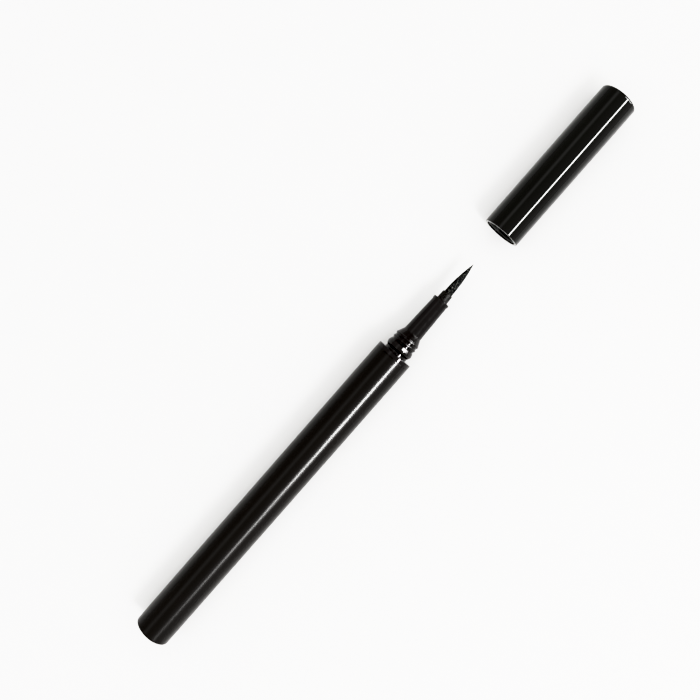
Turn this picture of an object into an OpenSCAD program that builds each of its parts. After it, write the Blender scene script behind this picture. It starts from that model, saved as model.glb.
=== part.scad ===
// Liquid eyeliner pen with its cap pulled off and lying in line ahead of the brush.
// The pen's axis runs along +X, the brush points to +X, and the round bodies lie on the plane z = 0.
// The origin is under the middle of the whole length. All lengths are millimetres.
// The radii are built up from the brush outwards: each piece adds its own wall and fit to the one inside it.

/* [Brush] */
// Length of the brush in front of the holder
nib_l = 9.9; // [8:0.1:12]
// Diameter of the brush where it leaves the holder
nib_d = 2.3; // [2:0.05:2.6]
// Number of filaments in the brush
filaments = 360; // [300:10:400]
// Thickness of a filament as a share of the room that it has
filament_share = 0.7; // [0.5:0.02:0.7]
// Depth of the moulded root's face behind the holder's mouth
root_recess = 0.3; // [0.2:0.1:0.6]
// Thickness of the flange at the rear of the brush root
root_flange_t = 0.6; // [0.4:0.1:1]

/* [Nib holder] */
// Wall of the holder inside the nozzle
holder_wall = 0.41; // [0.3:0.01:0.6]
// Length of the holder in front of the nozzle
holder_out_l = 2.3; // [1.5:0.1:3.5]
// Length of the holder inside the nozzle
holder_in_l = 6; // [4:0.5:7]
// How much smaller in radius the holder is in front of the nozzle
holder_step = 0.06; // [0.02:0.01:0.1]
// How much the holder narrows in radius towards its mouth
holder_taper = 0.07; // [0.03:0.01:0.12]
// Thickness of the holder's flange
holder_flange_t = 0.8; // [0.5:0.1:1.2]
// How far the holder's flange stands out
holder_flange_rise = 0.3; // [0.2:0.05:0.4]

/* [Nozzle] */
// Length of the nozzle from its shoulder to its front face
nozzle_l = 11.1; // [9:0.1:14]
// Wall of the nozzle at its front
nozzle_wall = 0.625; // [0.5:0.025:0.8]
// How much the nozzle widens in radius towards the neck
nozzle_taper = 0.35; // [0.2:0.05:0.5]
// Height of the rim that the inner cap closes on
rim_rise = 0.1; // [0.05:0.01:0.2]
// Width of the rim
rim_w = 0.8; // [0.5:0.1:1.2]

/* [Neck and shoulder] */
// Step in radius from the nozzle up to the neck
neck_step = 0.675; // [0.5:0.025:0.9]
// Length of the sloping step between neck and nozzle
neck_step_l = 1.45; // [1:0.05:2]
// Wall of the neck
neck_wall = 0.95; // [0.7:0.05:1.1]
// Height of the domed snap ring over the neck
snap_rise = 0.5; // [0.3:0.05:0.6]
// Width of the snap ring
snap_w = 2.1; // [1.6:0.1:2.6]
// Groove between the shoulder ring and the snap ring
snap_gap = 0.7; // [0.4:0.1:1]
// Height of the two click beads over the neck
bead_rise = 0.225; // [0.15:0.025:0.3]
// Width of one click bead
bead_w = 0.7; // [0.6:0.05:0.9]
// Distance from the snap ring to the middle of the first click bead
bead_gap = 0.7; // [0.5:0.05:1]
// Distance between the two click beads
bead_pitch = 1.15; // [0.9:0.05:1.5]
// Width of the shoulder ring that shows between barrel and cap
shoulder_l = 1.2; // [0.8:0.1:2]

/* [Cap] */
// Wall of the liner
liner_wall = 0.48; // [0.4:0.02:0.7]
// Depth of the liner's end behind the cap's mouth
liner_recess = 0.3; // [0.2:0.1:0.6]
// Lead-in chamfer of the liner
liner_lead = 0.3; // [0.2:0.05:0.4]
// Thickness of the liner's lip that keeps the inner cap in
lip_t = 0.8; // [0.6:0.1:1.2]
// Free distance in radius between the liner's lip and the inner cap's mouth
lip_gap = 0.625; // [0.4:0.025:0.8]
// Width of the click bead in the liner
click_w = 0.6; // [0.5:0.05:0.7]
// Wall of the cap's outer shell, which sets the outer diameter of cap, shoulder ring and barrel
cap_wall = 0.7; // [0.5:0.05:1]
// Thickness of the cap's closed end
cap_end_t = 1.4; // [1:0.1:2]
// Radius on the tail edge of the barrel and on the closed end of the cap
edge_r = 0.6; // [0.3:0.05:0.8]
// Free distance between the brush's tip and the mouth of the cap that was pulled off
cap_gap = 10; // [4:1:20]

/* [Inner cap and spring] */
// Width of the inner cap's seat on the rim, in radius
seat_w = 0.325; // [0.2:0.025:0.4]
// Lead of the inner cap's mouth over the rim, in radius
seat_lead = 0.15; // [0.1:0.01:0.25]
// Wall of the inner cap's cup
inner_wall = 0.8; // [0.6:0.05:1]
// Thickness of the inner cap's flange
inner_flange_t = 0.8; // [0.6:0.1:1.2]
// Free length between the brush's tip and the end of the inner cap
tip_room = 1.2; // [0.6:0.1:2]
// Length of the room for the spring, from the inner cap to the cap's closed end
spring_l = 10.2; // [8:0.1:14]
// Outer diameter of the spring
spring_d = 5; // [4:0.1:6]
// Thickness of the spring's wire
wire_d = 0.4; // [0.3:0.05:0.5]
// Number of turns of the spring
spring_turns = 6; // [4:1:7]
// Length of the pegs that centre the spring at both ends
peg_l = 1.8; // [1:0.1:2.5]

/* [Barrel] */
// Length of the barrel tube
barrel_l = 95; // [80:1:120]
// Wall of the barrel tube
barrel_wall = 0.9; // [0.7:0.05:1.1]
// Length of the plug that closes the tail, with its recess
plug_l = 7; // [4:0.5:12]
// Depth of the plug's face behind the tail edge
plug_recess = 0.3; // [0.1:0.1:0.6]
// Wall of the hollow plug
plug_wall = 0.9; // [0.6:0.1:1.2]
// Thickness of the plug's face
plug_face_t = 1.2; // [0.8:0.1:2]

/* [Ink feed] */
// Diameter of the feed rod
rod_d = 1.6; // [1.3:0.05:1.9]
// Diameter of the feed rod's end inside the brush root
rod_tip_d = 1.1; // [0.8:0.05:1.2]
// Length of the feed rod's end inside the brush root
rod_tip_l = 5; // [3:0.5:6]
// Length of the feed rod that stands in the tank
rod_tail_l = 2; // [1:0.5:4]
// Wall of the front section's skirt inside the barrel
skirt_wall = 0.88; // [0.8:0.02:1]
// Number of large fins on the ink collector
large_fins = 25; // [16:1:30]
// Number of small fins on the ink collector, inside the neck
small_fins = 6; // [3:1:6]
// Distance from fin to fin
fin_pitch = 0.95; // [0.8:0.05:1]
// Thickness of a fin
fin_t = 0.4; // [0.3:0.05:0.5]
// Wall of the collector's core
core_wall = 0.65; // [0.5:0.05:0.8]
// Width of the collector's air slot
air_slot_w = 1.1; // [0.6:0.1:1.4]
// Width of the collector's ink slit
ink_slit_w = 0.3; // [0.2:0.05:0.4]
// Length of the tank bush inside the skirt
bush_in_l = 1.4; // [1:0.1:2]
// Thickness of the tank bush's flange
bush_flange_t = 0.8; // [0.6:0.1:1.2]
// Thickness of the O-ring's cord
seal_cord_d = 0.5; // [0.4:0.05:0.55]
// Distance of the O-ring from the rear end of the skirt
seal_inset = 2.5; // [1.5:0.1:4]
// Diameter of the mixing ball
ball_d = 4; // [3:0.5:5]
// Place of the mixing ball along the tank, as a share of its free length
ball_place_share = 0.6; // [0.1:0.05:0.9]

/* [Fits] */
// Radial clearance of pieces that are pressed or slipped together for good
press_gap = 0.02; // [0.01:0.01:0.03]
// Radial clearance of pieces that slide past each other
slide_gap = 0.05; // [0.03:0.01:0.08]
// Clearance between faces that meet when a moving piece reaches its stop
stop_gap = 0.05; // [0.02:0.01:0.1]

/* [Hidden] */
$fn = 96;

// What a cut runs past the face that it opens
overrun = 1;
// Small edge radius and smaller edge break of moulded edges
fine_r = 0.15;
fine_edge = 0.1;

// Radii from the brush outwards to the cap's outside
nib_r = nib_d / 2;
nib_bore_r = nib_r + press_gap;
holder_in_r = nib_bore_r + holder_wall;
holder_r = holder_in_r - holder_step;
holder_mouth_r = holder_r - holder_taper;
holder_flange_r = holder_in_r + holder_flange_rise;
holder_bore_r = holder_in_r + press_gap;
nozzle_bore_r = holder_flange_r + press_gap;
nozzle_front_r = holder_bore_r + nozzle_wall;
nozzle_rear_r = nozzle_front_r + nozzle_taper;
rim_r = nozzle_front_r + rim_rise;
neck_r = nozzle_rear_r + neck_step;
neck_bore_r = neck_r - neck_wall;
bead_r = neck_r + bead_rise;
snap_r = neck_r + snap_rise;
liner_bore_r = snap_r + slide_gap;
liner_r = liner_bore_r + liner_wall;
cap_bore_r = liner_r + press_gap;
body_r = cap_bore_r + cap_wall;

// Radii from the barrel's outside inwards to the collector
bore_r = body_r - barrel_wall;
skirt_r = bore_r - press_gap;
chamber_r = skirt_r - skirt_wall;
plug_r = bore_r - press_gap;
rod_r = rod_d / 2;
rod_tip_r = rod_tip_d / 2;
rod_bore_r = rod_r + slide_gap;
core_r = rod_bore_r + core_wall;
fin_r = chamber_r - slide_gap;
small_fin_r = neck_bore_r - slide_gap;

// Places along the neck and the nozzle, counted from the barrel's mouth
snap_z = shoulder_l + snap_gap + snap_w / 2;
snap_dome_r = (pow(snap_w / 2, 2) + pow(snap_rise, 2)) / (2 * snap_rise);
bead_1_z = snap_z + snap_w / 2 + bead_gap;
bead_2_z = bead_1_z + bead_pitch;
step_z = bead_2_z + bead_w / 2 + fine_r;
nozzle_z = step_z + neck_step_l;
face_z = nozzle_z + nozzle_l;
holder_z = face_z + holder_out_l;
tip_z = holder_z + nib_l;

// Holder and brush root inside the nozzle
holder_seat_z = face_z - holder_in_l;
holder_rear_z = holder_seat_z - holder_flange_t;
root_rear_z = holder_rear_z - root_flange_t;
root_face_z = holder_z - root_recess;

// Brush: its outline falls from 1 to 0 along the brush as 1 - u ^ outline_power. The filaments are drawn
// together with the outline to the power gather_power, and each ends where it meets the outline.
outline_power = 2.2;
gather_power = 0.8;
// Where the longest filaments end and where a filament has its sections, as shares of the length
longest_share = 0.985;
section_shares = [0, 0.35, 0.62, 0.84];
// Angle from one filament to the next that packs them evenly
golden_turn = 180 * (3 - sqrt(5));
filament_d = filament_share * nib_d / sqrt(filaments);
filament_root = 3 * filament_d;
filament_sides = 3;

// Collector, bush and seal behind the barrel's mouth
chamber_end_z = -fine_edge;
collector_front_z = chamber_end_z + small_fins * fin_pitch;
collector_rear_z = chamber_end_z - large_fins * fin_pitch - fin_t;
bush_front_z = collector_rear_z - stop_gap;
skirt_rear_z = bush_front_z - bush_in_l;
tank_front_z = skirt_rear_z - bush_flange_t;
seal_z = skirt_rear_z + seal_inset;
seal_groove_w = seal_cord_d + 2 * fine_edge;
seal_groove_r = bore_r - seal_cord_d - press_gap;
seal_ring_r = bore_r - press_gap / 2 - seal_cord_d / 2;
rod_shoulder_z = root_rear_z - stop_gap;
rod_front_z = root_rear_z + rod_tip_l;
rod_rear_z = tank_front_z - rod_tail_l;

// Liner and inner cap, counted from the cap's mouth
click_r = bead_r + slide_gap;
click_z = bead_1_z - shoulder_l - bead_w;
inner_mouth_r = rim_r + seat_lead;
inner_bore_r = rim_r - seat_w;
inner_r = inner_bore_r + inner_wall;
inner_flange_r = cap_bore_r - 2 * slide_gap;
inner_mouth_z = face_z - shoulder_l - seat_lead;
inner_throat_z = inner_mouth_z + inner_mouth_r - inner_bore_r;
inner_floor_z = tip_z - shoulder_l + tip_room;
inner_end_z = inner_floor_z + inner_wall;
liner_end_z = inner_mouth_z - stop_gap;
lip_bore_r = inner_mouth_r + lip_gap;
cap_floor_z = inner_end_z + spring_l;
cap_l = cap_floor_z + cap_end_t;

// Spring
rings_per_turn = 8;
wire_sides = 6;
spring_rings = round(spring_turns * rings_per_turn);
wire_r = wire_d / 2;
coil_r = spring_d / 2 - wire_r;
spring_z = inner_end_z + stop_gap + wire_r;
spring_rise = spring_l - 2 * (stop_gap + wire_r);
peg_r = coil_r * cos(180 / rings_per_turn) - wire_r - slide_gap;

// Places in the part's frame
axis_h = body_r;
overall_l = barrel_l + tip_z + cap_gap + cap_l;
tail_x = -overall_l / 2;
mouth_x = tail_x + barrel_l;
tip_x = mouth_x + tip_z;
cap_x = tip_x + cap_gap;
ball_r = ball_d / 2;
ball_drop = bore_r - slide_gap - ball_r;
ball_rear_x = tail_x + plug_l + stop_gap + ball_r;
ball_front_x = mouth_x + rod_rear_z - stop_gap - ball_r;
ball_x = ball_rear_x + ball_place_share * (ball_front_x - ball_rear_x);

// Travels of the cap and of the ball
echo(cap_travel = cap_x - mouth_x - shoulder_l - stop_gap);
echo(ball_back = ball_x - ball_rear_x, ball_forward = ball_front_x - ball_x);
echo(body_r = body_r, overall_l = overall_l, tail_x = tail_x, mouth_x = mouth_x, tip_x = tip_x, cap_x = cap_x);

// Turns a piece that is drawn along +Z so that it lies on the pen's axis, with its zero at x
module on_axis(x) {
    translate([x, 0, axis_h]) rotate([0, 90, 0]) children();
}

// Band of a half section, from radius r0 to r1 and from z0 to z1
module band(r0, r1, z0, z1) {
    translate([r0, z0]) square([r1 - r0, z1 - z0]);
}

// What a rounded corner takes away at radius r and height z, on the side that up gives
module corner_cut(r, z, radius, up) {
    translate([r - radius, z - up * radius]) difference() {
        translate([0, min(0, up * (radius + overrun))]) square(radius + overrun);
        circle(radius);
    }
}

// Barrel tube
module barrel() {
    color("#1b1c1b") on_axis(tail_x) rotate_extrude() difference() {
        band(bore_r, body_r, 0, barrel_l);
        corner_cut(body_r, 0, edge_r, -1);
        corner_cut(body_r, barrel_l, fine_edge, 1);
    }
}

// Hollow plug that closes the tail, open towards the tank
module tail_plug() {
    color("#171817") on_axis(tail_x) rotate_extrude() difference() {
        band(0, plug_r, plug_recess, plug_l);
        band(0, plug_r - plug_wall, plug_recess + plug_face_t, plug_l + overrun);
        corner_cut(plug_r, plug_recess, fine_r, -1);
    }
}

// Half section of the front section's outside
module front_outline() {
    band(0, skirt_r, skirt_rear_z, shoulder_l / 2);
    difference() {
        band(0, body_r, 0, shoulder_l);
        corner_cut(body_r, 0, fine_edge, -1);
        corner_cut(body_r, shoulder_l, fine_r, 1);
    }
    band(0, neck_r, 0, step_z);
    intersection() {
        translate([snap_r - snap_dome_r, snap_z]) circle(snap_dome_r);
        band(0, snap_r, snap_z - snap_w / 2, snap_z + snap_w / 2);
    }
    for (z = [bead_1_z, bead_2_z])
        translate([bead_r - bead_w / 2, z]) circle(bead_w / 2);
    polygon([
        [0, step_z], [neck_r, step_z], [nozzle_rear_r, nozzle_z],
        [nozzle_front_r, face_z - rim_w], [0, face_z - rim_w]
    ]);
    difference() {
        band(0, rim_r, face_z - rim_w, face_z);
        corner_cut(rim_r, face_z, fine_r, 1);
        corner_cut(rim_r, face_z - rim_w, fine_edge, -1);
    }
}

// Shoulder ring, neck, nozzle and skirt in one moulding
module front_section() {
    color("#121110") on_axis(mouth_x) rotate_extrude() difference() {
        front_outline();
        band(0, chamber_r, skirt_rear_z - overrun, chamber_end_z);
        band(0, neck_bore_r, chamber_end_z - overrun, collector_front_z + stop_gap);
        band(0, nozzle_bore_r, 0, holder_seat_z);
        band(0, holder_bore_r, 0, face_z + overrun);
        band(seal_groove_r, skirt_r + overrun, seal_z - seal_groove_w / 2, seal_z + seal_groove_w / 2);
    }
}

// Collar that holds the brush, put in from the rear up to its flange
module nib_holder() {
    color("#191817") on_axis(mouth_x) rotate_extrude() difference() {
        union() {
            band(0, holder_flange_r, holder_rear_z, holder_seat_z);
            band(0, holder_in_r, holder_rear_z, face_z - fine_edge);
            polygon([
                [0, face_z - fine_edge], [holder_r, face_z - fine_edge],
                [holder_mouth_r, holder_z - fine_edge], [holder_mouth_r - fine_edge, holder_z], [0, holder_z]
            ]);
        }
        band(0, nib_bore_r, holder_rear_z - overrun, holder_z + overrun);
    }
}

// Outline of the brush as a share of its radius, at the share u of its length
function outline(u) = 1 - pow(u, outline_power);

// Share of the length at which a filament that starts at the share q of the radius meets the outline
function filament_end(q) = min(longest_share, pow(1 - pow(q, 1 / (1 - gather_power)), 1 / outline_power));

// Radius share and turn of filament i
function filament_q(i) = sqrt((i + 0.5) / filaments);
function filament_turn(i) = i * golden_turn;

// Centre line point of filament i at the share u of the brush
function filament_at(i, u) =
    let (r = (nib_r - filament_d / 2) * filament_q(i) * pow(outline(u), gather_power))
    [r * cos(filament_turn(i)), r * sin(filament_turn(i)), root_face_z + u * (tip_z - root_face_z)];

// Corner k of the section of filament i at the share s of its own length
function filament_corner(i, s, k) =
    let (u = s * filament_end(filament_q(i)))
    let (r = filament_d / 2 * pow(outline(u), gather_power))
    let (a = filament_turn(i) + k * 360 / filament_sides)
    filament_at(i, u) + [r * cos(a), r * sin(a), s == 0 ? -filament_root : 0];

// Least distance between the middle lines of two filaments at the root, less a filament's thickness
filament_gap = min([for (i = [0:filaments - 2], j = [i + 1:filaments - 1])
    norm(filament_at(i, 0) - filament_at(j, 0))]) - filament_d;
echo(filament_gap = filament_gap);

// Filaments, each a tapering strand that ends in a point
module filament_bundle() {
    n = filament_sides;
    sections = len(section_shares);
    stride = n * sections + 1;
    points = [for (i = [0:filaments - 1]) each [
        for (s = section_shares, k = [0:n - 1]) filament_corner(i, s, k),
        filament_at(i, filament_end(filament_q(i)))
    ]];
    faces = [for (i = [0:filaments - 1]) let (b = i * stride) each [
        [for (k = [0:n - 1]) b + k],
        for (j = [0:sections - 2], k = [0:n - 1]) let (c = b + n * j, m = (k + 1) % n) each [
            [c + k, c + k + n, c + m], [c + m, c + k + n, c + m + n]
        ],
        for (k = [0:n - 1]) let (c = b + n * (sections - 1)) [c + k, b + stride - 1, c + (k + 1) % n]
    ]];
    polyhedron(points, faces);
}

// Brush: filaments fused to a moulded root with a flange and a bore for the feed rod
module brush_nib() {
    color("#2a2b29") on_axis(mouth_x) {
        filament_bundle();
        rotate_extrude() difference() {
            union() {
                band(0, nib_r, root_rear_z, root_face_z);
                band(0, holder_in_r, root_rear_z, holder_rear_z - stop_gap);
            }
            band(0, rod_tip_r + slide_gap, root_rear_z - overrun, rod_front_z + stop_gap);
        }
    }
}

// Capillary rod from the tank to the root of the brush
module feed_rod() {
    color("#d8d4c8") on_axis(mouth_x) rotate_extrude() {
        band(0, rod_r, rod_rear_z, rod_shoulder_z);
        band(0, rod_tip_r, rod_shoulder_z - fine_r, rod_front_z);
    }
}

// Finned collector that takes up ink when air in the tank expands
module ink_collector() {
    collector_l = collector_front_z - collector_rear_z;
    color("#c9cbc6") on_axis(mouth_x) difference() {
        rotate_extrude() difference() {
            union() {
                band(0, core_r, collector_rear_z, collector_front_z);
                for (i = [0:large_fins])
                    band(0, fin_r, collector_rear_z + i * fin_pitch, collector_rear_z + i * fin_pitch + fin_t);
                for (i = [1:small_fins])
                    band(0, small_fin_r, chamber_end_z + i * fin_pitch - fin_t, chamber_end_z + i * fin_pitch);
            }
            band(0, rod_bore_r, collector_rear_z - overrun, collector_front_z + overrun);
        }
        translate([core_r - fine_edge, -air_slot_w / 2, collector_rear_z - overrun])
            cube([fin_r, air_slot_w, collector_l + 2 * overrun]);
        translate([-fin_r - overrun, -ink_slit_w / 2, collector_rear_z + fin_t])
            cube([fin_r + overrun, ink_slit_w, collector_l]);
    }
}

// Partition between tank and collector
module tank_bush() {
    color("#b9bbb6") on_axis(mouth_x) rotate_extrude() difference() {
        union() {
            band(0, chamber_r - press_gap, skirt_rear_z, bush_front_z);
            band(0, skirt_r, tank_front_z, skirt_rear_z);
        }
        band(0, rod_r + press_gap, tank_front_z - overrun, bush_front_z + overrun);
    }
}

// O-ring in the skirt's groove
module tank_seal() {
    color("#0e0e0e") on_axis(mouth_x) rotate_extrude()
        translate([seal_ring_r, seal_z]) circle(seal_cord_d / 2);
}

// Steel ball that lies on the floor of the tank
module mixing_ball() {
    color("#b8bcc0") translate([ball_x, 0, axis_h - ball_drop]) sphere(ball_r);
}

// Outer shell of the cap, with a peg inside its closed end for the spring
module cap_shell() {
    color("#0f0e0d") on_axis(cap_x) rotate_extrude() {
        difference() {
            band(0, body_r, 0, cap_l);
            band(0, cap_bore_r, -overrun, cap_floor_z);
            corner_cut(body_r, cap_l, edge_r, 1);
            corner_cut(body_r, 0, fine_r, -1);
        }
        band(0, peg_r, cap_floor_z - peg_l, cap_floor_z + fine_r);
    }
}

// Sleeve inside the cap, with a lead-in, a click bead and the lip that keeps the inner cap in
module cap_liner() {
    color("#262625") on_axis(cap_x) rotate_extrude() {
        difference() {
            band(0, liner_r, liner_recess, liner_end_z);
            band(0, liner_bore_r, 0, liner_end_z - lip_t);
            band(0, lip_bore_r, 0, liner_end_z + overrun);
            polygon([
                [0, liner_recess], [liner_bore_r + liner_lead, liner_recess],
                [liner_bore_r, liner_recess + liner_lead], [0, liner_recess + liner_lead]
            ]);
        }
        difference() {
            translate([click_r + click_w / 2, click_z]) circle(click_w / 2);
            band(liner_bore_r + fine_edge, liner_r + overrun, click_z - click_w, click_z + click_w);
        }
    }
}

// Sealing cup with a chamfered mouth, a guiding flange and a peg for the spring
module inner_cap() {
    color("#d9d7cf") on_axis(cap_x) rotate_extrude() difference() {
        union() {
            band(0, inner_r, inner_mouth_z, inner_end_z);
            band(0, inner_flange_r, inner_mouth_z, inner_mouth_z + inner_flange_t);
            band(0, peg_r, inner_end_z - fine_r, inner_end_z + peg_l);
        }
        band(0, inner_bore_r, inner_mouth_z - overrun, inner_floor_z);
        polygon([
            [0, inner_mouth_z - overrun], [inner_mouth_r + overrun, inner_mouth_z - overrun],
            [inner_bore_r, inner_throat_z], [0, inner_throat_z]
        ]);
        difference() {
            corner_cut(inner_r, inner_end_z, fine_r, 1);
            band(0, peg_r, inner_mouth_z, inner_end_z + peg_l + overrun);
        }
    }
}

// Point k of ring j around the spring's wire
function spring_point(j, k) =
    let (a = 360 * j / rings_per_turn, w = 360 * k / wire_sides)
    let (r = coil_r + wire_r * cos(w))
    [r * cos(a), r * sin(a), spring_z + spring_rise * j / spring_rings + wire_r * sin(w)];

// Least gap between neighbouring turns of the spring, measured on the points of the rings
spring_gap = min([for (j = [0:spring_rings - rings_per_turn], k = [0:wire_sides - 1], m = [0:wire_sides - 1])
    norm(spring_point(j, k) - spring_point(j + rings_per_turn, m))]);
echo(spring_gap = spring_gap);

// Compression spring between the inner cap and the cap's closed end
module inner_cap_spring() {
    points = [for (j = [0:spring_rings], k = [0:wire_sides - 1]) spring_point(j, k)];
    start_face = [for (k = [0:wire_sides - 1]) k];
    end_face = [for (k = [wire_sides - 1:-1:0]) spring_rings * wire_sides + k];
    walls = [for (j = [0:spring_rings - 1], k = [0:wire_sides - 1])
        let (b = j * wire_sides, n = (k + 1) % wire_sides) each [
            [b + k, b + k + wire_sides, b + n], [b + n, b + k + wire_sides, b + n + wire_sides]
        ]];
    color("#9da1a4") on_axis(cap_x) polyhedron(points, concat([start_face], walls, [end_face]));
}

barrel();
tail_plug();
front_section();
nib_holder();
brush_nib();
feed_rod();
ink_collector();
tank_bush();
tank_seal();
mixing_ball();
cap_shell();
cap_liner();
inner_cap();
inner_cap_spring();
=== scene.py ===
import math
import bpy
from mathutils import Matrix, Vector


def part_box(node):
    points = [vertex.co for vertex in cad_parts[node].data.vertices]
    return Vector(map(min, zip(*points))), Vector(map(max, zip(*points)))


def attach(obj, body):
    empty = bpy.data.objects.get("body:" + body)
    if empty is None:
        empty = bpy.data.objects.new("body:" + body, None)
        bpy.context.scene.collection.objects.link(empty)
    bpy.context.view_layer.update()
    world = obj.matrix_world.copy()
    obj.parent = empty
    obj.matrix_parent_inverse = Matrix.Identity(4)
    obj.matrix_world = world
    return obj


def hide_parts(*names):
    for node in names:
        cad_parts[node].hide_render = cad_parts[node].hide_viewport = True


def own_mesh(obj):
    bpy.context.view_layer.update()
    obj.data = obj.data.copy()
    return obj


bl_info = {
    "name": "Liquid eyeliner pen",
    "version": (1, 0, 0),
    "blender": (4, 5, 0),
    "location": "View3D > Sidebar > Eyeliner",
    "description": "Makes the pen's visible pieces and finishes, and the studio that shows them",
    "category": "Add Mesh",
}

import bmesh
import bpy
from bpy.props import FloatProperty, FloatVectorProperty, IntProperty, PointerProperty
from bpy.types import Operator, Panel, PropertyGroup
from mathutils import Matrix, Vector

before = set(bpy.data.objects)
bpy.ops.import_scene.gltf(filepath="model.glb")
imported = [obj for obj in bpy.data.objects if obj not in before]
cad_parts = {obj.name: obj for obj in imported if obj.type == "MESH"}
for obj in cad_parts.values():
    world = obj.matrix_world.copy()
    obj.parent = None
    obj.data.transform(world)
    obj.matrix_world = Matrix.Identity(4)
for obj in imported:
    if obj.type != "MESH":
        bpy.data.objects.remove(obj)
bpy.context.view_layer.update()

MM = 0.001


def span(node):
    """Rear x, front x and largest radius of a construction node, in metres."""
    low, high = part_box(node)
    return low.x, high.x, (high.z - low.z) / 2


# The pen's axis runs along +X at this height. Tail and mouth are the two ends of the barrel.
AXIS_H = sum(corner.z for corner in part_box("barrel")) / 2
TAIL_X, MOUTH_X, BODY_R = span("barrel")

# Facets round a turned piece, facets in a quarter of a rounded edge, and facets over a bead
TURN_FACETS = 256
EDGE_FACETS = 6
DOME_FACETS = 18
# Distance from a rounded edge at which one more ring keeps the straight run beside it flat
GUARD = 0.03 * MM
# Edges that turn by more than this are drawn sharp
SHARP_ANGLE = math.radians(28)
# Tones of the photograph's exposure: blacks stay deep, and shade on the white surface stays light
TONE_CURVE = ((0.05, 0.045), (0.2, 0.3), (0.45, 0.75), (0.7, 0.89))
WHITE_TONE = 0.957

# Angle from one filament to the next that packs them evenly
GOLDEN_TURN = math.pi * (3 - math.sqrt(5))
# Points along a filament, sides round it, and the seeds of what is drawn at random for it
FILAMENT_POINTS = 8
FILAMENT_SIDES = 5
FILAMENT_SEEDS = {"Length Seed": 5, "Lean Seed": 7, "Stray Seed": 11, "Roll Seed": 17}
# Shortest filament beside the longest, and the share of the brush's length that none passes
SHORTEST = 0.93
FARTHEST = 0.99
# Largest angle in radians by which a filament leans round the axis, and the power with which it bends
LEAN = 0.16
BEND = 2.0
# Share of its thickness that a filament loses by its point, and the power with which it does
THINNED = 0.82
TAPER = 3.0
# Steps in a turn of the spring's wire, sides round it, and the pitch of a closed end turn in wire radii
TURN_STEPS = 40
WIRE_SIDES = 16
CLOSED_PITCH = 2.1

# Direction in which the pen points, and those in which the soft key, the strip and the window stand
PEN_SIDE = Vector((1, 0, 0))
KEY_SIDE = Vector((-0.14, -0.58, 0.8)).normalized()
STRIP_SIDE = Vector((0, -0.62, 0.78)).normalized()
WINDOW_SIDE = Vector((0.58, -0.59, 0.56)).normalized()
# Middle of the strip along the axis, and strength along it: it fades over the tail, leaves the nozzle
# and the brush dark, and is weaker over the cap
STRIP_X = -50 * MM
STRIP_CURVE = (
    (0, 0.03), (0.12, 0.08), (0.22, 0.22), (0.31, 0.3), (0.4, 0.9), (0.46, 1), (0.555, 1), (0.575, 0),
    (0.7, 0), (0.72, 0.45), (1, 0.45),
)
# Brighter side of the surround, and normal of the plane in which its soft band runs overhead
BRIGHT_SIDE = Vector((0.3, -0.8, 0.2)).normalized()
BAND_NORMAL = Vector((0, -0.85, 0.5)).normalized()
# Lengthwise part of a direction at which the surround starts to dim, and at which it has dimmed
MIDDLE_EDGES = (0.5, 0.85)
# The camera is fitted to the pen's edges in the photograph. It looks down, with the brush to the upper
# right.
CAMERA_PLACE = Vector((13.769, 14.787, 212.674)) * MM
CAMERA_AHEAD = Vector((-0.06829, -0.02671, -0.99731))
CAMERA_RIGHT = Vector((0.65538, -0.75483, -0.02466))
# Distance within which the camera shows nothing
NEAREST = 10 * MM


def linear(code):
    """Linear colour of an sRGB hex code."""
    shares = [int(code[i:i + 2], 16) / 255 for i in (1, 3, 5)]
    return tuple(s / 12.92 if s <= 0.04045 else ((s + 0.055) / 1.055) ** 2.4 for s in shares) + (1.0,)


def length(name, value, description):
    """Property that holds a length, with its default in millimetres."""
    return FloatProperty(name=name, description=description, default=value * MM, min=0, unit="LENGTH",
                         precision=6)


def number(name, value, description, **kind):
    """Property that holds a plain number, or one with a unit or subtype of its own."""
    return FloatProperty(name=name, description=description, default=value, min=0, **kind)


def colour(name, code, description):
    """Property that holds a colour, with its default as an sRGB hex code."""
    return FloatVectorProperty(name=name, description=description, default=linear(code), size=4,
                               min=0, max=1, subtype="COLOR")


class BarrelSizes(PropertyGroup):
    """Sizes of the barrel and of the plug in its tail."""

    wall: length("Wall", 0.9, "Wall of the barrel tube")
    tail_edge: length("Tail edge", 0.6, "Radius on the tail edge")
    fine_edge: length("Fine edge", 0.1, "Radius on the other edges")
    plug_wall: length("Plug wall", 0.9, "Wall of the hollow plug")
    plug_face: length("Plug face", 1.2, "Thickness of the plug's face")
    plug_edge: length("Plug edge", 0.15, "Radius on the rim of the plug's face")
    gate_r: length("Gate radius", 0.9, "Radius of the dimple where the plastic was let in")
    gate_depth: length("Gate depth", 0.12, "Depth of that dimple")


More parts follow.
